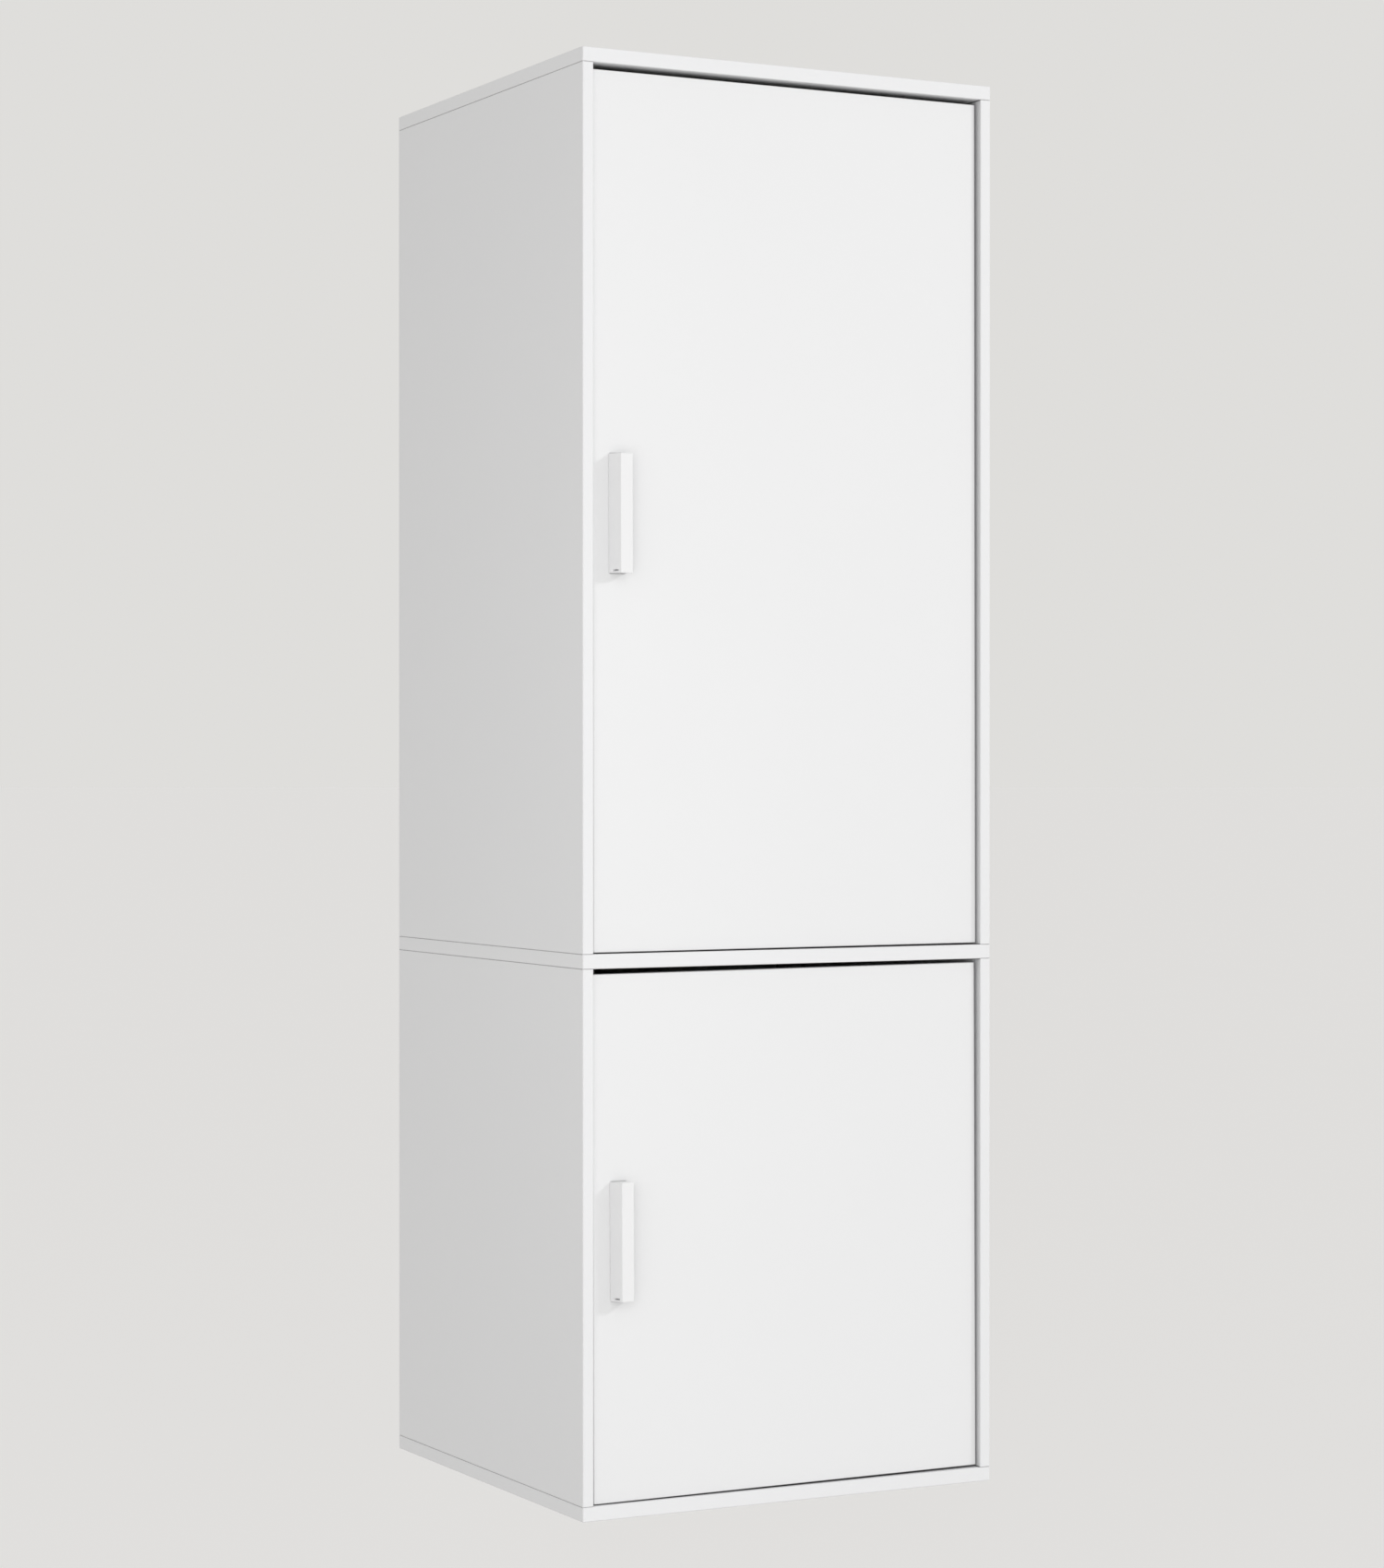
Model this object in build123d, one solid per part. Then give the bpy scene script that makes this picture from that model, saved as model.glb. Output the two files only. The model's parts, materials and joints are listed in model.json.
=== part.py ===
from build123d import *
import os
from dataclasses import dataclass

# Tall two-door wall cabinet, in millimetres. While the parts are built, x = 0 is the middle of the
# width, y = 0 is the wall, the front faces -Y and z = 0 is the underside. Each part is moved down
# by ORIGIN_HEIGHT when it is written, so the row's origin is the middle of the wall fixings.

# Carcass
WIDTH = 520.0
DEPTH = 503.0
HEIGHT = 1600.0
BOARD = 16.0            # top, middle and bottom boards
SIDE = 13.0             # side boards
MIDDLE_LOW = 600.0      # underside of the middle board
INNER = WIDTH / 2 - SIDE

# Back panels and the hanging rails behind them
RAIL_DEPTH = 16.0
RAIL_HEIGHT = 80.0
PANEL = 8.0
GROOVE_DEPTH = 5.0
GROOVE_SLACK = 0.2
FIXING_RADIUS = 3.0
FIXING_X = 200.0
RAIL_DOWEL_RADIUS = 3.0
RAIL_DOWEL_SPACING = 50.0
RAIL_DOWEL_IN_SIDE = 8.0
RAIL_DOWEL_IN_RAIL = 22.0

# Knock-down joints between the side boards and the full-width boards
DOWEL_RADIUS = 4.0
DOWEL_IN_BOARD = 10.0
DOWEL_IN_SIDE = 20.0
CAM_RADIUS = 7.5
CAM_DEPTH = 10.0
CAM_OFFSET = 34.0       # cam centre to the end of the side board
BOLT_HOLE_RADIUS = 4.0
BOLT_THREAD_RADIUS = 2.5
BOLT_THREAD = 11.0
BOLT_SHANK_RADIUS = 3.0
BOLT_HEAD_RADIUS = 3.3
BOLT_HEAD = 3.0
BOLT_COLLAR = 3.0
BOLT_NECK_RADIUS = 1.8
CAM_CROSS_REACH = 5.0
CAM_CROSS_WIDTH = 1.6
CAM_CROSS_DEPTH = 1.8
FIT = 0.1               # radial slack of fasteners in their holes
HOLE_BOTTOM = 0.5       # space left at the bottom of blind holes
EDGE_EASE = 0.6         # small bevel along the edges of boards and doors

# Shelves
SHELF_SIDE_GAP = 0.5
SHELF_FRONT = -462.0
SHELF_BACK_GAP = 1.0
PIN_HOLE_RADIUS = 2.5
PIN_HOLE_DEPTH = 9.0
PIN_HOLE_PITCH = 32.0
PIN_HEAD_RADIUS = 3.5
PIN_HEAD = 7.0
PIN_HEAD_ROUNDING = 1.0
PIN_ROWS = (-60.0, -430.0)

# Doors
DOOR = 16.0
DOOR_RECESS = 5.5       # door face behind the front edges of the carcass
DOOR_FACE = DOOR_RECESS - DEPTH
DOOR_BACK = DOOR_FACE + DOOR
CUP_BORE_RADIUS = 17.5
CUP_BORE_DEPTH = 11.5

# Handles: a folded section with a slanted left flank, open to the right for the fingertips
HANDLE_LENGTH = 130.0
HANDLE_PROJECTION = 14.0
HANDLE_WALL = 3.0
HANDLE_FLANK = 8.0      # width of the slanted flank
HANDLE_WIDTH = 22.5
HANDLE_BASE = 20.0
HANDLE_CAP = 1.5        # closed ends
HANDLE_ROUNDING = 0.8
HANDLE_SCREW_FROM_LEFT = 12.5
HANDLE_SCREW_SPACING = 96.0
HANDLE_SCREW_RADIUS = 1.9
HANDLE_SCREW_HOLE_RADIUS = 2.2
HANDLE_SCREW_HEAD_RADIUS = 4.0
HANDLE_SCREW_HEAD = 2.2
HANDLE_SCREW_DRIVE = 1.4
SLIT_NEAR = 4.5         # both ends of the slit, from the door's face
SLIT_FAR = 11.0
SLIT_HEIGHT = 2.0
SLIT_FROM_END = 2.8

# Concealed hinges, laid out around each hinge's pin
PIN_BEHIND_FACE = 9.5
PIN_FROM_EDGE = 18.0
PIN_Y = DOOR_FACE + PIN_BEHIND_FACE
HINGE_PIN_RADIUS = 1.5
HINGE_PIN_LENGTH = 19.0
CUP_OFFSET = 4.0        # cup centre left of the pin
CUP_RADIUS = 17.4
CUP_INNER_RADIUS = 16.0
CUP_FLOOR = 0.8
CUP_FLANGE = 1.2
CUP_FLANGE_RADIUS = 18.6
CUP_EAR_HEIGHT = 60.0
CUP_EAR_WIDTH = 14.0
CUP_EAR_ROUNDING = 5.6
CUP_SCREW_SLACK = 0.2
CUP_SCREW_OFFSET = 8.0
CUP_SCREW_SPACING = 48.0
CUP_SCREW_RADIUS = 1.55
CUP_SCREW_LENGTH = 11.0
CUP_SCREW_HEAD_RADIUS = 3.2
CUP_SCREW_HEAD = 1.5
CUP_SCREW_DRIVE = 1.2
CHEEK_GAP = 14.0
CHEEK = 2.5
CHEEK_LENGTH = 7.0
CHEEK_BEHIND_PIN = 3.0
KNUCKLE_RADIUS = 3.8
KNUCKLE_BORE_RADIUS = 1.55
ARM_WIDTH = 13.0
ARM_WALL = 4.0
NECK_LEFT = -17.4
NECK_RIGHT = -11.4
CRANK_FRONT = 20.0
CRANK_BACK = 26.0
ARM_BACK = 76.0
ARM_THICKNESS = 5.0
SADDLE_HEIGHT = 8.0
SADDLE_WIDTH = 14.0
SADDLE_FRONT = 28.0
SADDLE_BACK = 78.0
WING_HEIGHT = 52.0
WING_THICKNESS = 2.5
WING_ROUNDING = 6.0
WING_FRONT = 38.0
WING_BACK = 56.0
PLATE_SCREW_SPACING = 32.0
PLATE_SCREW_Y = 47.0
PLATE_SCREW_RADIUS = 2.4
PLATE_SCREW_DEPTH = 10.0
PLATE_SCREW_HEAD_RADIUS = 4.0
PLATE_SCREW_HEAD = 2.0
PLATE_SCREW_DRIVE = 1.6
ARM_SCREW_Y = 60.0
ARM_SCREW_RADIUS = 2.0
ARM_SCREW_DEPTH = 6.0
ARM_SCREW_HEAD_RADIUS = 3.8
ARM_SCREW_HEAD = 2.5
ARM_SCREW_DRIVE = 1.5

# Stops on the left side board that the closed doors rest on
STOP_WIDTH = 12.0
STOP_DEPTH = 14.5
STOP_HEIGHT = 20.0
STOP_END = 60.0         # from each end of the opening
STOP_ROUNDING = 1.5
STOP_PEG_BACK = 8.7     # peg centre behind the stop's front face
STOP_PAD = 1.9
STOP_PAD_GAP = 0.1
STOP_PAD_RADIUS = 4.0
STOP_PAD_ROUNDING = 0.8
STOP_PAD_OUT = 7.2      # pad centre from the side board


@dataclass
class Compartment:
    name: str
    low: float
    high: float
    bolt_rows: tuple
    dowel_rows: tuple
    shelf_heights: dict
    hinge_heights: tuple
    door_width: float
    door_low: float
    door_high: float
    hinge_gap: float    # mean gap between the door and the right side board
    sag: float          # degrees that the free side of the door hangs low
    handle_height: float
    handle_inset: float     # from the door's left edge


UPPER = Compartment(
    name="upper",
    low=MIDDLE_LOW + BOARD,
    high=HEIGHT - BOARD,
    bolt_rows=(-70.0, -433.0),
    dowel_rows=(-110.0, -393.0),
    shelf_heights={"upper_shelf_low": 930.0, "upper_shelf_high": 1260.0},
    hinge_heights=(716.0, 1100.0, 1484.0),
    door_width=488.1,
    door_low=617.5,
    door_high=1577.8,
    hinge_gap=4.1,
    sag=0.1,
    handle_height=1096.0,
    handle_inset=19.5,
)
LOWER = Compartment(
    name="lower",
    low=BOARD,
    high=MIDDLE_LOW,
    bolt_rows=(-90.0, -413.0),
    dowel_rows=(-130.0, -373.0),
    shelf_heights={"lower_shelf": 300.0},
    hinge_heights=(116.0, 500.0),
    door_width=488.0,
    door_low=17.6,
    door_high=594.4,
    hinge_gap=3.9,
    sag=0.22,
    handle_height=303.0,
    handle_inset=20.6,
)
COMPARTMENTS = (UPPER, LOWER)
ORIGIN_HEIGHT = (UPPER.high + LOWER.high - RAIL_HEIGHT) / 2
SIDE_CENTRE = WIDTH / 2 - SIDE / 2
BOTH_SIDES = (-1, 1)


def block(x, y, z):
    """A box between two limits on each axis."""
    size = [high - low for low, high in (x, y, z)]
    centre = [(high + low) / 2 for low, high in (x, y, z)]
    return Pos(*centre) * Box(*size)


def board(x, y, z):
    """A block with a small bevel along its edges."""
    return chamfer(block(x, y, z).edges(), EDGE_EASE)


def rod(radius, start, direction, length):
    """A cylinder that runs from a point along a direction."""
    plane = Plane(origin=start, z_dir=direction)
    return plane.location * Cylinder(radius, length, align=(Align.CENTER, Align.CENTER, Align.MIN))


def screw(radius, length, head_radius, head_height, seat, inward, drive_radius):
    """A pan-head screw whose head sits on seat and whose shank runs inward."""
    outward = tuple(-value for value in inward)
    head = rod(head_radius, seat, outward, head_height)
    head = fillet(head.edges().sort_by(Axis(seat, outward))[-1], head_height * 0.45)
    shank = rod(radius, seat, inward, length)
    recess_seat = tuple(s + o * head_height * 0.35 for s, o in zip(seat, outward))
    recess = rod(drive_radius, recess_seat, outward, head_height)
    return head + shank - recess


def rail_heights(part):
    middle = part.high - RAIL_HEIGHT / 2
    half = RAIL_DOWEL_SPACING / 2
    return (middle - half, middle + half)


def ends(part):
    """Each end of the side boards: its height and the direction into the full-width board."""
    return ((part.low, -1), (part.high, 1))


def end_joints(part, rows):
    """Every place where a joint row meets the end of a side board."""
    for side in BOTH_SIDES:
        for height, direction in ends(part):
            for y in rows:
                yield side, y, height, direction


def groove(x, z):
    rear = -RAIL_DEPTH + GROOVE_SLACK / 2
    return block(x, (rear - PANEL - GROOVE_SLACK, rear), z)


def pin_holes(part, side):
    cuts = []
    for height in part.shelf_heights.values():
        for y in PIN_ROWS:
            for step in (-1, 0, 1):
                z = height - PIN_HEAD_RADIUS + step * PIN_HOLE_PITCH
                cuts.append(rod(PIN_HOLE_RADIUS, (side * INNER, y, z), (side, 0, 0), PIN_HOLE_DEPTH))
    return cuts


def side_joint_cuts(part, side):
    cuts = []
    for height, direction in ends(part):
        inward = (0, 0, -direction)
        cam_height = height - direction * CAM_OFFSET
        for y in part.dowel_rows:
            cuts.append(rod(DOWEL_RADIUS, (side * SIDE_CENTRE, y, height), inward, DOWEL_IN_SIDE))
        for y in part.bolt_rows:
            cuts.append(rod(BOLT_HOLE_RADIUS, (side * SIDE_CENTRE, y, height), inward, CAM_OFFSET))
            cuts.append(rod(CAM_RADIUS, (side * INNER, y, cam_height), (side, 0, 0), CAM_DEPTH))
    return cuts


def side_board(part, side):
    x = sorted((side * INNER, side * WIDTH / 2))
    panel = board(x, (-DEPTH, 0), (part.low, part.high))
    inner = sorted((side * INNER, side * (INNER + GROOVE_DEPTH)))
    cuts = [groove(inner, (part.low, part.high))]
    cuts += side_joint_cuts(part, side) + pin_holes(part, side)
    for z in rail_heights(part):
        start = (side * INNER, -RAIL_DEPTH / 2, z)
        cuts.append(rod(RAIL_DOWEL_RADIUS, start, (side, 0, 0), RAIL_DOWEL_IN_SIDE))
    if side > 0:
        for z in plate_screw_heights(part):
            start = (INNER, PIN_Y + PLATE_SCREW_Y, z)
            cuts.append(rod(PIN_HOLE_RADIUS, start, (1, 0, 0), PLATE_SCREW_DEPTH))
    else:
        for z in stop_heights(part):
            cuts.append(rod(PIN_HOLE_RADIUS, (-INNER, stop_y(), z), (-1, 0, 0), PIN_HOLE_DEPTH))
    return panel - cuts


def cross_board(low):
    """A full-width board with its dowel and bolt holes, and grooves where a back panel meets it."""
    panel = board((-WIDTH / 2, WIDTH / 2), (-DEPTH, 0), (low, low + BOARD))
    cuts = []
    for part in COMPARTMENTS:
        for height, direction in ends(part):
            if height not in (low, low + BOARD):
                continue
            z = sorted((height, height + direction * GROOVE_DEPTH))
            cuts.append(groove((-INNER - GROOVE_DEPTH, INNER + GROOVE_DEPTH), z))
            for side in BOTH_SIDES:
                for y in part.dowel_rows:
                    start = (side * SIDE_CENTRE, y, height)
                    cuts.append(rod(DOWEL_RADIUS, start, (0, 0, direction), DOWEL_IN_BOARD))
                for y in part.bolt_rows:
                    start = (side * SIDE_CENTRE, y, height)
                    cuts.append(rod(BOLT_THREAD_RADIUS, start, (0, 0, direction), BOLT_THREAD))
    return panel - cuts


def fixing_holes(part):
    z = part.high - RAIL_HEIGHT / 2
    depth = RAIL_DEPTH + PANEL
    return [rod(FIXING_RADIUS, (side * FIXING_X, -depth, z), (0, 1, 0), depth) for side in BOTH_SIDES]


def back_panel(part):
    reach = GROOVE_DEPTH - GROOVE_SLACK
    panel = block(
        (-INNER - reach, INNER + reach),
        (-RAIL_DEPTH - PANEL, -RAIL_DEPTH),
        (part.low - reach, part.high + reach),
    )
    return panel - fixing_holes(part)


def hanging_rail(part):
    rail = block((-INNER, INNER), (-RAIL_DEPTH, 0), (part.high - RAIL_HEIGHT, part.high))
    cuts = fixing_holes(part)
    for side in BOTH_SIDES:
        for z in rail_heights(part):
            start = (side * INNER, -RAIL_DEPTH / 2, z)
            cuts.append(rod(RAIL_DOWEL_RADIUS, start, (-side, 0, 0), RAIL_DOWEL_IN_RAIL))
    return rail - cuts


def dowel(radius, start, direction, length):
    pin = rod(radius - FIT, start, direction, length)
    tips = pin.edges().filter_by(GeomType.CIRCLE)
    return chamfer(tips, radius * 0.2)


def rail_dowels():
    pins = []
    for part in COMPARTMENTS:
        for side in BOTH_SIDES:
            for z in rail_heights(part):
                start = (side * (INNER - RAIL_DOWEL_IN_RAIL + 0.5), -RAIL_DEPTH / 2, z)
                length = RAIL_DOWEL_IN_RAIL + RAIL_DOWEL_IN_SIDE - 1
                pins.append(dowel(RAIL_DOWEL_RADIUS, start, (side, 0, 0), length))
    return pins


def carcass_dowels(part):
    pins = []
    for side, y, height, direction in end_joints(part, part.dowel_rows):
        start = (side * SIDE_CENTRE, y, height - direction * (DOWEL_IN_SIDE - 0.5))
        length = DOWEL_IN_SIDE + DOWEL_IN_BOARD - 1
        pins.append(dowel(DOWEL_RADIUS, start, (0, 0, direction), length))
    return pins


def cam(side, y, z, direction):
    """A cam disc, open towards the bolt, with a cross recess in its visible face."""
    disc = rod(CAM_RADIUS - FIT, (side * INNER, y, z), (side, 0, 0), CAM_DEPTH - FIT)
    tunnel = rod(BOLT_HEAD_RADIUS + 2 * FIT, (side * SIDE_CENTRE, y, z), (0, 0, direction), CAM_RADIUS)
    pocket_z = sorted((z - direction * BOLT_HEAD, z + direction * BOLT_HEAD))
    half = BOLT_HEAD_RADIUS + 2 * FIT
    x = sorted((side * (SIDE_CENTRE - half), side * (SIDE_CENTRE + half)))
    pocket = block(x, (y - half, y + half), pocket_z)
    recess_x = sorted((side * (INNER - 1), side * (INNER + CAM_CROSS_DEPTH)))
    long, short = CAM_CROSS_REACH, CAM_CROSS_WIDTH / 2
    cross = block(recess_x, (y - long, y + long), (z - short, z + short))
    cross += block(recess_x, (y - short, y + short), (z - long, z + long))
    return disc - tunnel - pocket - cross


def cams(part):
    places = end_joints(part, part.bolt_rows)
    return [cam(side, y, height - d * CAM_OFFSET, d) for side, y, height, d in places]


def cam_bolt(side, y, height, direction):
    x = side * SIDE_CENTRE
    into_board = (0, 0, direction)
    into_side = (0, 0, -direction)
    thread = rod(BOLT_THREAD_RADIUS - FIT, (x, y, height), into_board, BOLT_THREAD - HOLE_BOTTOM)
    collar = rod(BOLT_HOLE_RADIUS - FIT, (x, y, height), into_side, BOLT_COLLAR)
    shank = rod(BOLT_SHANK_RADIUS, (x, y, height), into_side, CAM_OFFSET - CAM_RADIUS - 1)
    neck = rod(BOLT_NECK_RADIUS, (x, y, height), into_side, CAM_OFFSET)
    head_z = height - direction * (CAM_OFFSET - BOLT_HEAD / 2)
    head = rod(BOLT_HEAD_RADIUS, (x, y, head_z), into_side, BOLT_HEAD)
    return thread + collar + shank + neck + head


def cam_bolts(part):
    return [cam_bolt(*place) for place in end_joints(part, part.bolt_rows)]


def shelf(height):
    reach = INNER - SHELF_SIDE_GAP
    back = -RAIL_DEPTH - PANEL - SHELF_BACK_GAP
    return board((-reach, reach), (SHELF_FRONT, back), (height, height + BOARD))


def shelf_pins(height):
    pins = []
    z = height - PIN_HEAD_RADIUS
    for side in BOTH_SIDES:
        for y in PIN_ROWS:
            root = (side * INNER, y, z)
            shank = rod(PIN_HOLE_RADIUS - FIT, root, (side, 0, 0), PIN_HOLE_DEPTH - HOLE_BOTTOM)
            head = rod(PIN_HEAD_RADIUS, root, (-side, 0, 0), PIN_HEAD)
            tip = head.edges().filter_by(GeomType.CIRCLE).sort_by(Axis.X)[-1 if side < 0 else 0]
            pins.append(shank + fillet(tip, PIN_HEAD_ROUNDING))
    return pins


def stop_heights(part):
    return (part.low + STOP_END, part.high - STOP_END)


def stop_front():
    return DOOR_BACK + STOP_PAD_GAP + STOP_PAD


def stop_y():
    return stop_front() + STOP_PEG_BACK


def door_stops(part):
    stops = []
    for z in stop_heights(part):
        half = STOP_HEIGHT / 2
        body = block(
            (-INNER, -INNER + STOP_WIDTH), (stop_front(), stop_front() + STOP_DEPTH), (z - half, z + half)
        )
        body = fillet(body.edges().group_by(Axis.X)[-1], STOP_ROUNDING)
        peg = rod(PIN_HOLE_RADIUS - FIT, (-INNER, stop_y(), z), (-1, 0, 0), PIN_HOLE_DEPTH - HOLE_BOTTOM)
        stops.append(body + peg)
    return stops


def stop_pads(part):
    pads = []
    for z in stop_heights(part):
        start = (-INNER + STOP_PAD_OUT, stop_front(), z)
        pad = rod(STOP_PAD_RADIUS, start, (0, -1, 0), STOP_PAD)
        tip = pad.edges().filter_by(GeomType.CIRCLE).sort_by(Axis.Y)[0]
        pads.append(fillet(tip, STOP_PAD_ROUNDING))
    return pads


def pin_x(part):
    return INNER - part.hinge_gap - PIN_FROM_EDGE


def cup_x(part):
    return pin_x(part) - CUP_OFFSET


def cup_screw_places(part, z):
    half = CUP_SCREW_SPACING / 2
    return [(cup_x(part) - CUP_SCREW_OFFSET, z - half), (cup_x(part) - CUP_SCREW_OFFSET, z + half)]


def plate_screw_heights(part):
    half = PLATE_SCREW_SPACING / 2
    return [z + offset for z in part.hinge_heights for offset in (-half, half)]


def hinge_cup(part, z):
    """The pressed cup in the door's back, with two ears, and cheeks that carry the pin."""
    x = cup_x(part)
    bowl = rod(CUP_RADIUS, (x, DOOR_BACK, z), (0, -1, 0), CUP_BORE_DEPTH - FIT)
    flange = rod(CUP_FLANGE_RADIUS, (x, DOOR_BACK, z), (0, 1, 0), CUP_FLANGE)
    half = CUP_EAR_HEIGHT / 2
    ears = block((x - CUP_EAR_WIDTH, x), (DOOR_BACK, DOOR_BACK + CUP_FLANGE), (z - half, z + half))
    ears = fillet(ears.edges().filter_by(Axis.Y), CUP_EAR_ROUNDING)
    floor = DOOR_BACK - CUP_BORE_DEPTH + FIT + CUP_FLOOR
    cavity = rod(CUP_INNER_RADIUS, (x, floor, z), (0, 1, 0), CUP_BORE_DEPTH + CUP_FLANGE)
    cup = bowl + flange + ears - cavity
    for side in BOTH_SIDES:
        near = z + side * CHEEK_GAP / 2
        far = near + side * CHEEK
        px = pin_x(part)
        cup += block(
            (px - CHEEK_LENGTH / 2, px + CHEEK_LENGTH / 2),
            (floor, PIN_Y + CHEEK_BEHIND_PIN),
            sorted((near, far)),
        )
    cup -= rod(HINGE_PIN_RADIUS, (pin_x(part), PIN_Y, z - HINGE_PIN_LENGTH / 2), (0, 0, 1), HINGE_PIN_LENGTH)
    for sx, sz in cup_screw_places(part, z):
        cup -= rod(CUP_SCREW_RADIUS + CUP_SCREW_SLACK, (sx, DOOR_BACK, sz), (0, 1, 0), CUP_FLANGE)
    return cup


def hinge_pins(part):
    half = HINGE_PIN_LENGTH / 2
    radius = HINGE_PIN_RADIUS - 0.01
    return [rod(radius, (pin_x(part), PIN_Y, z - half), (0, 0, 1), HINGE_PIN_LENGTH)
            for z in part.hinge_heights]


def cup_screws(part):
    screws = []
    for z in part.hinge_heights:
        for sx, sz in cup_screw_places(part, z):
            seat = (sx, DOOR_BACK + CUP_FLANGE, sz)
            screws.append(screw(CUP_SCREW_RADIUS, CUP_SCREW_LENGTH, CUP_SCREW_HEAD_RADIUS,
                                CUP_SCREW_HEAD, seat, (0, -1, 0), CUP_SCREW_DRIVE))
    return screws


def hinge_arm(part, z):
    """The cranked arm: a knuckle in the cup, a neck out of it and a bar along the side board."""
    x = pin_x(part)
    height = (z - ARM_WIDTH / 2, z + ARM_WIDTH / 2)
    saddle_top = INNER - SADDLE_HEIGHT
    bar_inner = saddle_top - ARM_THICKNESS
    arm = rod(KNUCKLE_RADIUS, (x, PIN_Y, height[0]), (0, 0, 1), ARM_WIDTH)
    arm += block((x + NECK_LEFT, x), (PIN_Y - ARM_WALL / 2, PIN_Y + ARM_WALL / 2), height)
    arm += block((x + NECK_LEFT, x + NECK_RIGHT), (PIN_Y - ARM_WALL / 2, PIN_Y + CRANK_BACK), height)
    arm += block((x + NECK_LEFT, saddle_top), (PIN_Y + CRANK_FRONT, PIN_Y + CRANK_BACK), height)
    arm += block((bar_inner, saddle_top), (PIN_Y + CRANK_FRONT, PIN_Y + ARM_BACK), height)
    arm -= rod(KNUCKLE_BORE_RADIUS, (x, PIN_Y, height[0]), (0, 0, 1), ARM_WIDTH)
    arm -= rod(ARM_SCREW_RADIUS + FIT, (bar_inner, PIN_Y + ARM_SCREW_Y, z), (1, 0, 0), ARM_THICKNESS)
    return arm


def hinge_plate(z):
    half = SADDLE_WIDTH / 2
    saddle = block(
        (INNER - SADDLE_HEIGHT, INNER), (PIN_Y + SADDLE_FRONT, PIN_Y + SADDLE_BACK), (z - half, z + half)
    )
    half = WING_HEIGHT / 2
    wings = block(
        (INNER - WING_THICKNESS, INNER), (PIN_Y + WING_FRONT, PIN_Y + WING_BACK), (z - half, z + half)
    )
    wings = fillet(wings.edges().filter_by(Axis.X), WING_ROUNDING)
    plate = saddle + wings
    for offset in (-PLATE_SCREW_SPACING / 2, PLATE_SCREW_SPACING / 2):
        start = (INNER, PIN_Y + PLATE_SCREW_Y, z + offset)
        plate -= rod(PIN_HOLE_RADIUS, start, (-1, 0, 0), WING_THICKNESS)
    start = (INNER - SADDLE_HEIGHT, PIN_Y + ARM_SCREW_Y, z)
    return plate - rod(ARM_SCREW_RADIUS + FIT / 2, start, (1, 0, 0), ARM_SCREW_DEPTH)


def plate_screws(part):
    length = WING_THICKNESS + PLATE_SCREW_DEPTH - HOLE_BOTTOM
    screws = []
    for z in plate_screw_heights(part):
        seat = (INNER - WING_THICKNESS, PIN_Y + PLATE_SCREW_Y, z)
        screws.append(screw(PLATE_SCREW_RADIUS, length, PLATE_SCREW_HEAD_RADIUS,
                            PLATE_SCREW_HEAD, seat, (1, 0, 0), PLATE_SCREW_DRIVE))
    return screws


def arm_screws(part):
    length = ARM_THICKNESS + ARM_SCREW_DEPTH - HOLE_BOTTOM
    screws = []
    for z in part.hinge_heights:
        seat = (INNER - SADDLE_HEIGHT - ARM_THICKNESS, PIN_Y + ARM_SCREW_Y, z)
        screws.append(screw(ARM_SCREW_RADIUS, length, ARM_SCREW_HEAD_RADIUS,
                            ARM_SCREW_HEAD, seat, (1, 0, 0), ARM_SCREW_DRIVE))
    return screws


def door_placement(part):
    """The middle of the door panel's front face, turned so that the free side hangs low."""
    x = INNER - part.hinge_gap - part.door_width / 2
    z = (part.door_low + part.door_high) / 2
    return Pos(x, DOOR_FACE, z) * Rot(0, -part.sag, 0)


def handle_place(part):
    """The handle's left base edge, at mid-length, from the middle of the door's face."""
    x = part.handle_inset - part.door_width / 2
    z = part.handle_height - (part.door_low + part.door_high) / 2
    return x, z


def handle_screw_places(part):
    x, z = handle_place(part)
    x += HANDLE_SCREW_FROM_LEFT
    half = HANDLE_SCREW_SPACING / 2
    return ((x, z - half), (x, z + half))


def door_panel(part):
    half = part.door_width / 2
    length = part.door_high - part.door_low
    panel = board((-half, half), (0, DOOR), (-length / 2, length / 2))
    for x, z in handle_screw_places(part):
        panel -= rod(HANDLE_SCREW_HOLE_RADIUS, (x, 0, z), (0, 1, 0), DOOR)
    panel = door_placement(part) * panel
    cuts = []
    for z in part.hinge_heights:
        cuts.append(rod(CUP_BORE_RADIUS, (cup_x(part), DOOR_BACK, z), (0, -1, 0), CUP_BORE_DEPTH))
        for sx, sz in cup_screw_places(part, z):
            start = (sx, DOOR_BACK, sz)
            cuts.append(rod(CUP_SCREW_RADIUS + FIT, start, (0, -1, 0), CUP_SCREW_LENGTH))
    return panel - cuts


def handle_section():
    """The folded sheet: base flange on the door, slanted flank, and front lip."""
    slope = HANDLE_FLANK / HANDLE_PROJECTION
    flank_wall = HANDLE_WALL * (1 + slope**2) ** 0.5
    under_lip = HANDLE_PROJECTION - HANDLE_WALL
    outline = Polyline(
        (0, 0),
        (HANDLE_FLANK, -HANDLE_PROJECTION),
        (HANDLE_WIDTH, -HANDLE_PROJECTION),
        (HANDLE_WIDTH, -under_lip),
        (slope * under_lip + flank_wall, -under_lip),
        (slope * HANDLE_WALL + flank_wall, -HANDLE_WALL),
        (HANDLE_BASE, -HANDLE_WALL),
        (HANDLE_BASE, 0),
        (0, 0),
    )
    return make_face(outline)


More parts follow.
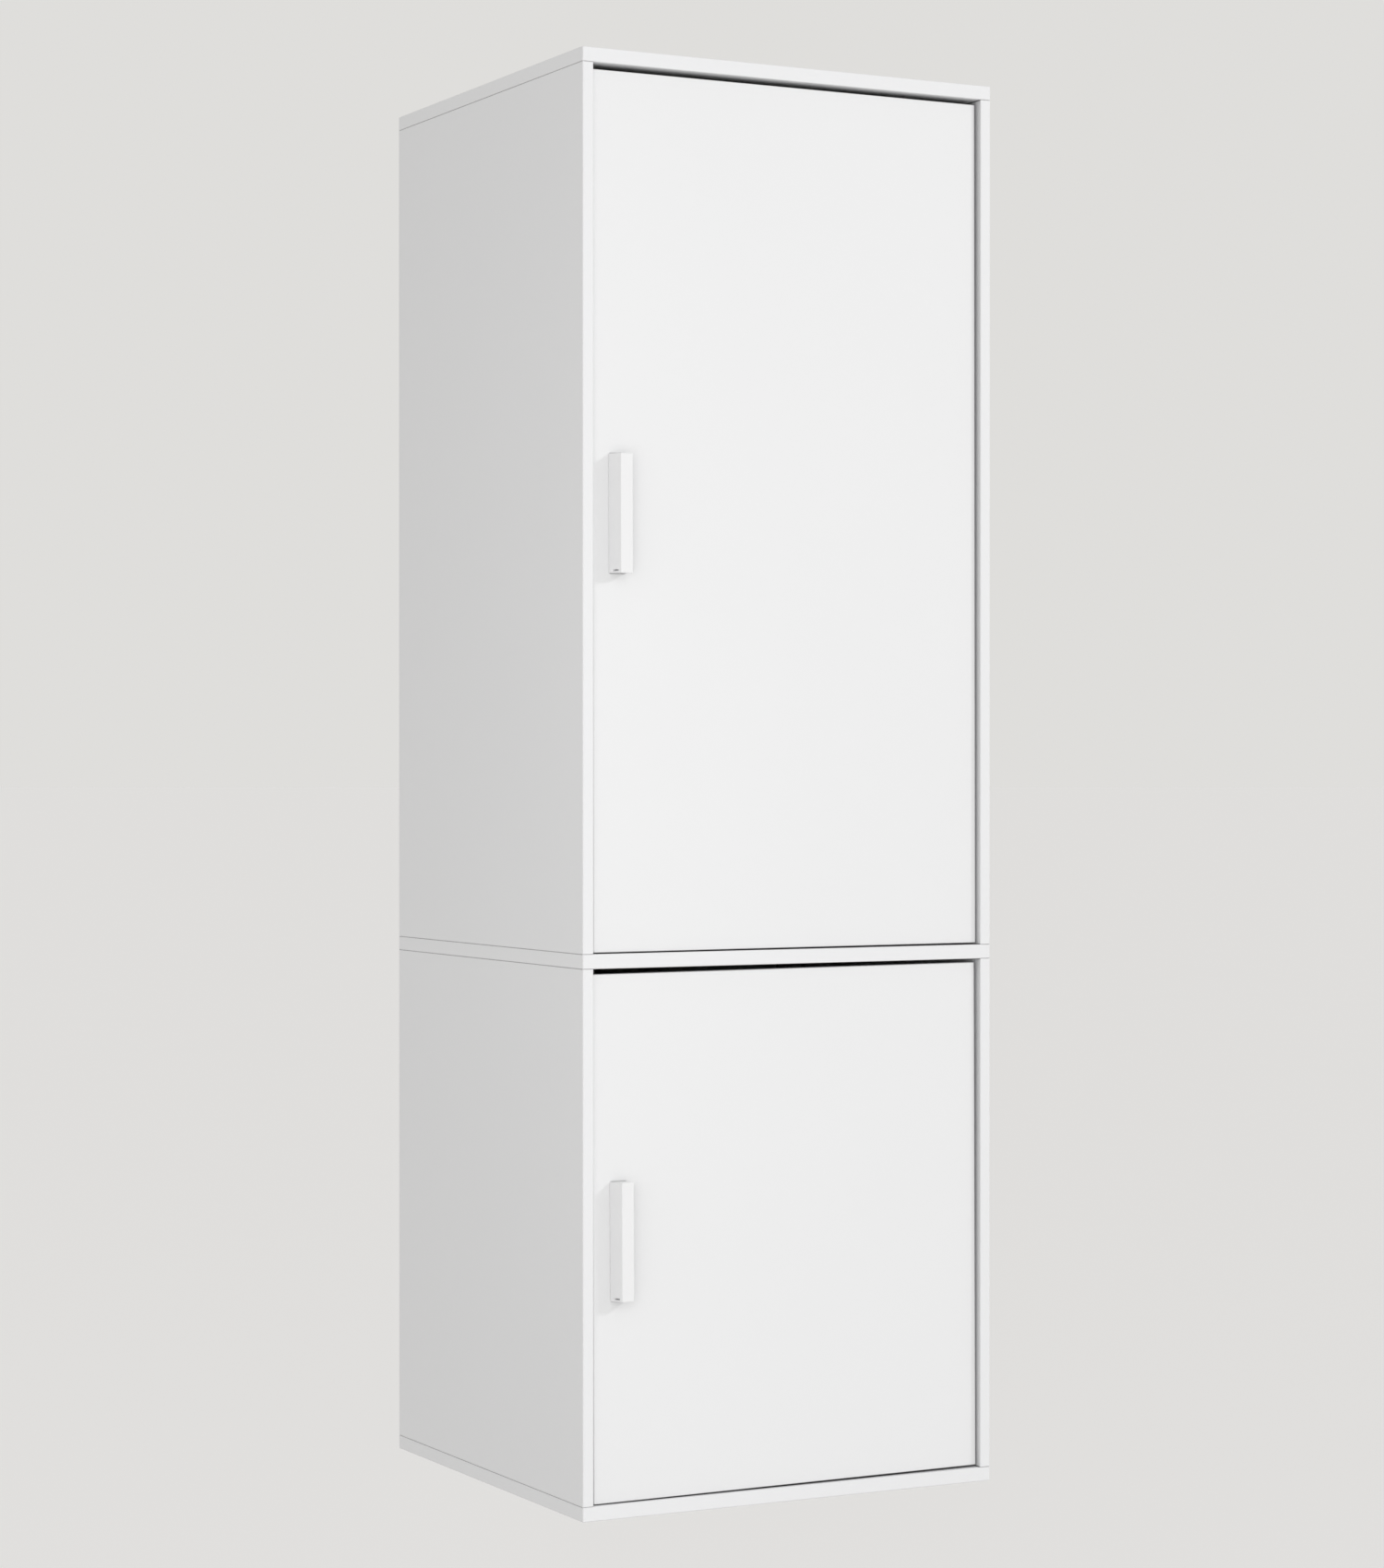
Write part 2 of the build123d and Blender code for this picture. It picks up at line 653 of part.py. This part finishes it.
def handle_cap():
    """One closed end: the whole section, filled in."""
    corners = (
        (0, 0),
        (HANDLE_FLANK, -HANDLE_PROJECTION),
        (HANDLE_WIDTH, -HANDLE_PROJECTION),
        (HANDLE_WIDTH, -HANDLE_PROJECTION + HANDLE_WALL),
        (HANDLE_BASE, 0),
        (0, 0),
    )
    return extrude(make_face(Polyline(*corners)), HANDLE_CAP)


def handle(part):
    """A bar open to the right, with closed ends and a slit through the flank near its lower end."""
    x, z = handle_place(part)
    bottom = z - HANDLE_LENGTH / 2
    bar = extrude(handle_section(), HANDLE_LENGTH)
    bar += handle_cap() + Pos(0, 0, HANDLE_LENGTH - HANDLE_CAP) * handle_cap()
    bar = fillet(bar.edges().filter_by(Axis.Z).group_by(Axis.Y)[0], HANDLE_ROUNDING)
    slit_x = (-1, HANDLE_FLANK + HANDLE_WALL)
    slit_z = (SLIT_FROM_END - SLIT_HEIGHT / 2, SLIT_FROM_END + SLIT_HEIGHT / 2)
    bar -= block(slit_x, (-SLIT_FAR, -SLIT_NEAR), slit_z)
    bar = Pos(x, 0, bottom) * bar
    for sx, sz in handle_screw_places(part):
        bar -= rod(HANDLE_SCREW_RADIUS + FIT, (sx, 0, sz), (0, -1, 0), HANDLE_WALL)
    return door_placement(part) * bar


def handle_screws(part):
    screws = []
    for x, z in handle_screw_places(part):
        length = DOOR + HANDLE_WALL - HOLE_BOTTOM
        screws.append(screw(HANDLE_SCREW_RADIUS, length, HANDLE_SCREW_HEAD_RADIUS,
                            HANDLE_SCREW_HEAD, (x, DOOR, z), (0, -1, 0), HANDLE_SCREW_DRIVE))
    return [door_placement(part) * piece for piece in screws]


def write(node, shape):
    """Move a part, or a list of loose pieces, to the row's origin and write it."""
    pieces = shape if isinstance(shape, list) else [shape]
    solids = [solid for piece in pieces for solid in (Pos(0, 0, -ORIGIN_HEIGHT) * piece).solids()]
    export_step(Compound(children=solids), f"parts/{node}.step")


write("top_board", cross_board(UPPER.high))
write("middle_board", cross_board(MIDDLE_LOW))
write("bottom_board", cross_board(0.0))
write("rail_dowels", rail_dowels())

for part in COMPARTMENTS:
    write(f"{part.name}_left_side", side_board(part, -1))
    write(f"{part.name}_right_side", side_board(part, 1))
    write(f"{part.name}_back_panel", back_panel(part))
    write(f"{part.name}_hanging_rail", hanging_rail(part))
    write(f"{part.name}_dowels", carcass_dowels(part))
    write(f"{part.name}_cams", cams(part))
    write(f"{part.name}_cam_bolts", cam_bolts(part))
    write(f"{part.name}_door_stops", door_stops(part))
    write(f"{part.name}_stop_pads", stop_pads(part))
    write(f"{part.name}_plate_screws", plate_screws(part))
    write(f"{part.name}_arm_screws", arm_screws(part))
    write(f"{part.name}_door", door_panel(part))
    write(f"{part.name}_handle", handle(part))
    write(f"{part.name}_handle_screws", handle_screws(part))
    write(f"{part.name}_cup_screws", cup_screws(part))
    write(f"{part.name}_hinge_pins", hinge_pins(part))
    for node, height in part.shelf_heights.items():
        write(node, shelf(height))
        write(f"{node}_pins", shelf_pins(height))
    for number, height in enumerate(part.hinge_heights, start=1):
        write(f"{part.name}_hinge_{number}_cup", hinge_cup(part, height))
        write(f"{part.name}_hinge_{number}_arm", hinge_arm(part, height))
        write(f"{part.name}_hinge_{number}_plate", hinge_plate(height))
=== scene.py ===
"""Looks for the two-door wall cabinet: studio, camera and a procedural finish for each slot.

The CAD meshes stay as they are. Edges look rounded because the finishes bend the surface
direction there."""

import json
import math

import bpy
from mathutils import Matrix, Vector


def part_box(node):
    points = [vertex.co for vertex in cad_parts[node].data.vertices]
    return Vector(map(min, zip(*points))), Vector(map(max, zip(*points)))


MM = 0.001

# Finishes
EDGE_MASK_FULL = 0.85   # cosine between rounded and true direction at which an edge is fully worn
JOINT_DARK = 0.35       # ambient occlusion at which a joint is darkest
JOINT_OPEN = 0.85       # and at which it no longer shows
JOINT_SAMPLES = 8
SCUFF_SIZE = 6 * MM
GRAIN_LOW = 0.3         # noise between these two spans the roughness range
GRAIN_HIGH = 0.7

# Camera: place in cabinet heights from the carcass's lower front left corner, angles in degrees,
# lens and sensor in millimetres
CAMERA_PLACE = Vector((-1.1103, -2.2735, 0.5106))
CAMERA_YAW = 27.705
CAMERA_PITCH = -0.227
CAMERA_LENS = 85.76
CAMERA_SENSOR = 36.0

# Studio: places in metres from the same corner, colours linear, powers in watts
BACKGROUND = (0.738, 0.730, 0.712)
FRONT_GLOW = (0.902, 0.900, 0.897)
FLOOR_DROP = 4.0
FLOOR_SIZE = 4000.0
FLOOR_COLOUR = (0.930, 0.924, 0.920)
FLOOR_ROUGHNESS = 0.9
FLOOR_CLOUD_SIZE = 2.0
FLOOR_CLOUD_SHADE = 0.995
GLOW_START = 0.2        # how far to the back a direction points where the glow starts
GLOW_FULL = -0.6        # and where it is full
SIDE_PLACE = Vector((7.0, -3.9, 4.2))
SIDE_SIZE = 0.85
SIDE_POWER = 224.0
TOP_PLACE = Vector((0.2, -3.0, 3.2))
LOW_PLACE = Vector((0.0, -3.2, -0.8))
FILL_SIZE = 2.0
FILL_POWER = 13.4
LEFT_PLACE = Vector((-0.9, -1.1, 0.85))
LEFT_SIZE = 1.0
LEFT_POWER = 4.6


# ---------------------------------------------------------------- node helpers


def new_material(name):
    """A material with a Principled shader; returns the material, its node tree and the shader."""
    material = bpy.data.materials.new(name)
    material.use_nodes = True
    tree = material.node_tree
    return material, tree, tree.nodes["Principled BSDF"]


def add_node(tree, kind, links=(), **values):
    """A node with named input values, and links given as (input name, output socket)."""
    node = tree.nodes.new(kind)
    for name, value in values.items():
        socket = name.replace("_", " ")
        if socket in node.inputs:
            node.inputs[socket].default_value = value
        else:
            setattr(node, name, value)
    for name, source in links:
        tree.links.new(source, node.inputs[name])
    return node


def math_node(tree, operation, first, second):
    node = tree.nodes.new("ShaderNodeMath")
    node.operation = operation
    for socket, value in zip(node.inputs, (first, second)):
        if isinstance(value, (int, float)):
            socket.default_value = value
        else:
            tree.links.new(value, socket)
    return node.outputs[0]


def map_range(tree, value, low, high, new_low, new_high):
    node = tree.nodes.new("ShaderNodeMapRange")
    for socket, number in zip(node.inputs[1:5], (low, high, new_low, new_high)):
        socket.default_value = number
    tree.links.new(value, node.inputs[0])
    return node.outputs[0]


def mix_colours(tree, factor, first, second):
    node = tree.nodes.new("ShaderNodeMix")
    node.data_type = "RGBA"
    tree.links.new(factor, node.inputs["Factor"])
    for socket, value in ((node.inputs[6], first), (node.inputs[7], second)):
        if isinstance(value, tuple):
            socket.default_value = (*value, 1.0)
        else:
            tree.links.new(value, socket)
    return node.outputs[2]


def object_coordinates(tree, stretch=(1.0, 1.0, 1.0)):
    """Coordinates of the row frame in metres, squeezed along chosen axes."""
    coordinates = tree.nodes.new("ShaderNodeTexCoord")
    mapping = add_node(tree, "ShaderNodeMapping", [("Vector", coordinates.outputs["Object"])])
    mapping.inputs["Scale"].default_value = stretch
    return mapping.outputs[0]


def noise(tree, vector, size, detail=3.0):
    """Noise whose features are about size metres across."""
    node = add_node(tree, "ShaderNodeTexNoise", [("Vector", vector)], Scale=1.0 / size, Detail=detail)
    return node.outputs["Fac"]


def rounded_normal(tree, radius):
    """The surface direction, turned smoothly over the edges of the shape."""
    return add_node(tree, "ShaderNodeBevel", Radius=radius).outputs[0]


def edge_mask(tree, rounded):
    """1 on the edges of the shape and 0 on its flat faces."""
    geometry = tree.nodes.new("ShaderNodeNewGeometry")
    dot = tree.nodes.new("ShaderNodeVectorMath")
    dot.operation = "DOT_PRODUCT"
    tree.links.new(rounded, dot.inputs[0])
    tree.links.new(geometry.outputs["Normal"], dot.inputs[1])
    return map_range(tree, dot.outputs["Value"], 1.0, EDGE_MASK_FULL, 0.0, 1.0)


def joint_shade(tree, reach):
    """How much light reaches a narrow joint: 1 in the open and 0 in a joint deeper than reach."""
    occlusion = add_node(tree, "ShaderNodeAmbientOcclusion", Distance=reach, samples=JOINT_SAMPLES)
    return occlusion.outputs["AO"]


def finish(tree, shader, colour, worn, mottle, grain, rough, wear=0.3, edge=0.8 * MM,
           stretch=(1, 1, 1), joint=None):
    """Colour that varies softly, worn edges, shade in the joints, and grain in roughness and bump.

    mottle is (size, amount), grain is (size, height), rough is (lowest, highest), joint is
    (reach, darkest), wear is from 0 to 1 and edge is the radius of the rounding."""
    vector = object_coordinates(tree, stretch)
    mottle_size, mottle_amount = mottle
    clouds = noise(tree, vector, mottle_size)
    darker = tuple(c * (1.0 - mottle_amount) for c in colour)
    body = mix_colours(tree, clouds, darker, colour)
    scuffs = noise(tree, vector, SCUFF_SIZE, detail=5.0)
    rounded = rounded_normal(tree, edge)
    worn_amount = math_node(tree, "MULTIPLY", edge_mask(tree, rounded), scuffs)
    worn_amount = math_node(tree, "MULTIPLY", worn_amount, wear)
    surface = mix_colours(tree, worn_amount, body, worn)
    # painted shade: the colour darkens where ambient occlusion finds a narrow joint
    if joint:
        reach, darkest = joint
        open_amount = map_range(tree, joint_shade(tree, reach), JOINT_DARK, JOINT_OPEN, 0.0, 1.0)
        surface = mix_colours(tree, open_amount, tuple(c * darkest for c in colour), surface)
    tree.links.new(surface, shader.inputs["Base Color"])
    grain_size, grain_height = grain
    fine = noise(tree, vector, grain_size, detail=2.0)
    tree.links.new(map_range(tree, fine, GRAIN_LOW, GRAIN_HIGH, *rough), shader.inputs["Roughness"])
    links = [("Height", fine), ("Normal", rounded)]
    bump = add_node(tree, "ShaderNodeBump", links, Strength=1.0, Distance=grain_height)
    tree.links.new(bump.outputs[0], shader.inputs["Normal"])


# ---------------------------------------------------------------- finishes


def melamine(name, colour):
    """White melamine-faced board: a fine pearl texture, satin, with slightly yellowed edges."""
    material, tree, shader = new_material(name)
    # the boards carry painted shade in their joints, from ambient occlusion
    finish(tree, shader, colour, worn=(0.66, 0.63, 0.57), mottle=(0.18, 0.012),
           grain=(0.5 * MM, 0.006 * MM), rough=(0.42, 0.52), wear=0.25, joint=(3 * MM, 0.25))
    shader.inputs["Specular IOR Level"].default_value = 0.4
    return material


def powder_coat(name, colour):
    """White powder coat: a soft orange peel, a little glossier than the boards."""
    material, tree, shader = new_material(name)
    finish(tree, shader, colour, worn=(0.70, 0.68, 0.64), mottle=(0.04, 0.015),
           grain=(1.1 * MM, 0.012 * MM), rough=(0.30, 0.40), wear=0.35, edge=0.5 * MM)
    shader.inputs["Coat Weight"].default_value = 0.15
    shader.inputs["Coat Roughness"].default_value = 0.25
    return material


def metal(name, colour, worn, grain, rough, stretch=(1, 1, 1)):
    """Bare or plated metal, brushed along the axis that stretch squeezes."""
    material, tree, shader = new_material(name)
    finish(tree, shader, colour, worn, mottle=(0.012, 0.10), grain=grain, rough=rough,
           wear=0.6, edge=0.3 * MM, stretch=stretch)
    shader.inputs["Metallic"].default_value = 1.0
    return material


def beech(name):
    """Plain beech: long grain along the height, with short darker flecks."""
    material, tree, shader = new_material(name)
    finish(tree, shader, (0.62, 0.43, 0.25), worn=(0.72, 0.56, 0.38), mottle=(1.2 * MM, 0.30),
           grain=(0.5 * MM, 0.05 * MM), rough=(0.55, 0.75), stretch=(1, 1, 0.1))
    return material


def moulded_plastic(name, colour):
    """White moulded plastic with a fine spark-eroded texture."""
    material, tree, shader = new_material(name)
    finish(tree, shader, colour, worn=(0.78, 0.77, 0.74), mottle=(0.01, 0.03),
           grain=(0.35 * MM, 0.01 * MM), rough=(0.38, 0.50), wear=0.3, edge=0.4 * MM)
    shader.inputs["Subsurface Weight"].default_value = 0.05
    shader.inputs["Subsurface Radius"].default_value = (MM, MM, MM)
    return material


def soft_rubber(name):
    """Milky soft pads, slightly see-through."""
    material, tree, shader = new_material(name)
    finish(tree, shader, (0.70, 0.69, 0.66), worn=(0.6, 0.58, 0.54), mottle=(3 * MM, 0.06),
           grain=(0.6 * MM, 0.02 * MM), rough=(0.35, 0.6), edge=0.3 * MM)
    shader.inputs["Subsurface Weight"].default_value = 0.4
    shader.inputs["Subsurface Radius"].default_value = (2 * MM, 2 * MM, 2 * MM)
    return material


def slot_materials():
    """One finish for each material slot of the record."""
    zinc_grain = (0.4 * MM, 0.01 * MM)
    return {
        "carcass_white": melamine("carcass_melamine", (0.691, 0.695, 0.704)),
        "door_white": melamine("door_melamine", (0.693, 0.696, 0.702)),
        "back_white": melamine("back_melamine", (0.688, 0.691, 0.698)),
        "handle_white": powder_coat("handle_powder_coat", (0.708, 0.710, 0.716)),
        "hinge_steel": metal("hinge_nickel", (0.63, 0.61, 0.58), (0.75, 0.74, 0.72),
                             (0.5 * MM, 0.01 * MM), (0.22, 0.36), stretch=(1, 0.15, 1)),
        "fastener_steel": metal("fastener_zinc", (0.60, 0.60, 0.57), (0.70, 0.70, 0.68),
                                zinc_grain, (0.30, 0.45)),
        "cam_zinc": metal("cam_die_cast", (0.52, 0.53, 0.54), (0.66, 0.67, 0.68),
                          zinc_grain, (0.45, 0.60)),
        "dowel_wood": beech("dowel_beech"),
        "stop_plastic": moulded_plastic("stop_white_plastic", (0.80, 0.80, 0.79)),
        "pad_rubber": soft_rubber("pad_soft_rubber"),
    }


# ---------------------------------------------------------------- CAD nodes


def dress_nodes(frame):
    """Gives each CAD node the finish of its slot."""
    materials = slot_materials()
    slots = {entry["node"]: entry["material_slot"] for entry in frame["record"]["subparts"]}
    for name, node in frame["nodes"].items():
        for place in node.material_slots:
            place.material = materials[slots[name]]


# ---------------------------------------------------------------- studio


def floor_material():
    """Matt pale paper, very slightly uneven."""
    material, tree, shader = new_material("floor_paper")
    clouds = noise(tree, object_coordinates(tree), FLOOR_CLOUD_SIZE)
    darker = tuple(c * FLOOR_CLOUD_SHADE for c in FLOOR_COLOUR)
    tree.links.new(mix_colours(tree, clouds, darker, FLOOR_COLOUR), shader.inputs["Base Color"])
    shader.inputs["Roughness"].default_value = FLOOR_ROUGHNESS
    shader.inputs["Specular IOR Level"].default_value = 0.0
    return material


def build_floor(corner):
    bpy.ops.mesh.primitive_plane_add(size=FLOOR_SIZE, location=(0, 0, corner.z - FLOOR_DROP))
    floor = bpy.context.object
    floor.name = "floor"
    floor.data.materials.append(floor_material())


def soft_light(name, place, target, size, power):
    """A square area light at place, turned to target."""
    light = bpy.data.lights.new(name, "AREA")
    light.shape = "SQUARE"
    light.size = size
    light.energy = power
    lamp = bpy.data.objects.new(name, light)
    lamp.location = place
    lamp.rotation_euler = (target - place).to_track_quat("-Z", "Y").to_euler()
    bpy.context.collection.objects.link(lamp)


def build_world():
    """The pale backdrop, brighter on the photographer's side."""
    world = bpy.data.worlds.new("studio")
    world.use_nodes = True
    tree = world.node_tree
    coordinates = tree.nodes.new("ShaderNodeTexCoord")
    axes = add_node(tree, "ShaderNodeSeparateXYZ", [("Vector", coordinates.outputs["Generated"])])
    front = map_range(tree, axes.outputs["Y"], GLOW_START, GLOW_FULL, 0.0, 1.0)
    colour = mix_colours(tree, front, BACKGROUND, FRONT_GLOW)
    tree.links.new(colour, tree.nodes["Background"].inputs["Color"])
    bpy.context.scene.world = world


def build_studio(corner, centre):
    build_floor(corner)
    build_world()
    soft_light("side_key", corner + SIDE_PLACE, centre, SIDE_SIZE, SIDE_POWER)
    for name, place in (("top_fill", TOP_PLACE), ("low_fill", LOW_PLACE)):
        soft_light(name, corner + place, centre, FILL_SIZE, FILL_POWER)
    soft_light("left_fill", corner + LEFT_PLACE, centre, LEFT_SIZE, LEFT_POWER)
    bpy.context.scene.view_settings.view_transform = "Standard"


def build_camera(corner, height):
    data = bpy.data.cameras.new("camera")
    data.lens = CAMERA_LENS
    data.sensor_width = CAMERA_SENSOR
    camera = bpy.data.objects.new("camera", data)
    camera.location = corner + CAMERA_PLACE * height
    camera.rotation_euler = (math.radians(90 + CAMERA_PITCH), 0, -math.radians(CAMERA_YAW))
    bpy.context.collection.objects.link(camera)
    bpy.context.scene.camera = camera


with open("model.json") as file:
    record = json.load(file)
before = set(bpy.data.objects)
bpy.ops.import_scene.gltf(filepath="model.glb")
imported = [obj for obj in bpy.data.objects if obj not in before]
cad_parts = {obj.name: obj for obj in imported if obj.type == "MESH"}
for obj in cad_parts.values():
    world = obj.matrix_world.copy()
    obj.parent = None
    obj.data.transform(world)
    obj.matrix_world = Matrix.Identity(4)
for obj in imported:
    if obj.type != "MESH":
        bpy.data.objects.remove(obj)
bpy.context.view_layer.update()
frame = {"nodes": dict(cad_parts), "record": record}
low_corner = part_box("bottom_board")[0]
top_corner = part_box("top_board")[1]
dress_nodes(frame)
build_studio(low_corner, (low_corner + top_corner) / 2)
build_camera(low_corner, top_corner.z - low_corner.z)
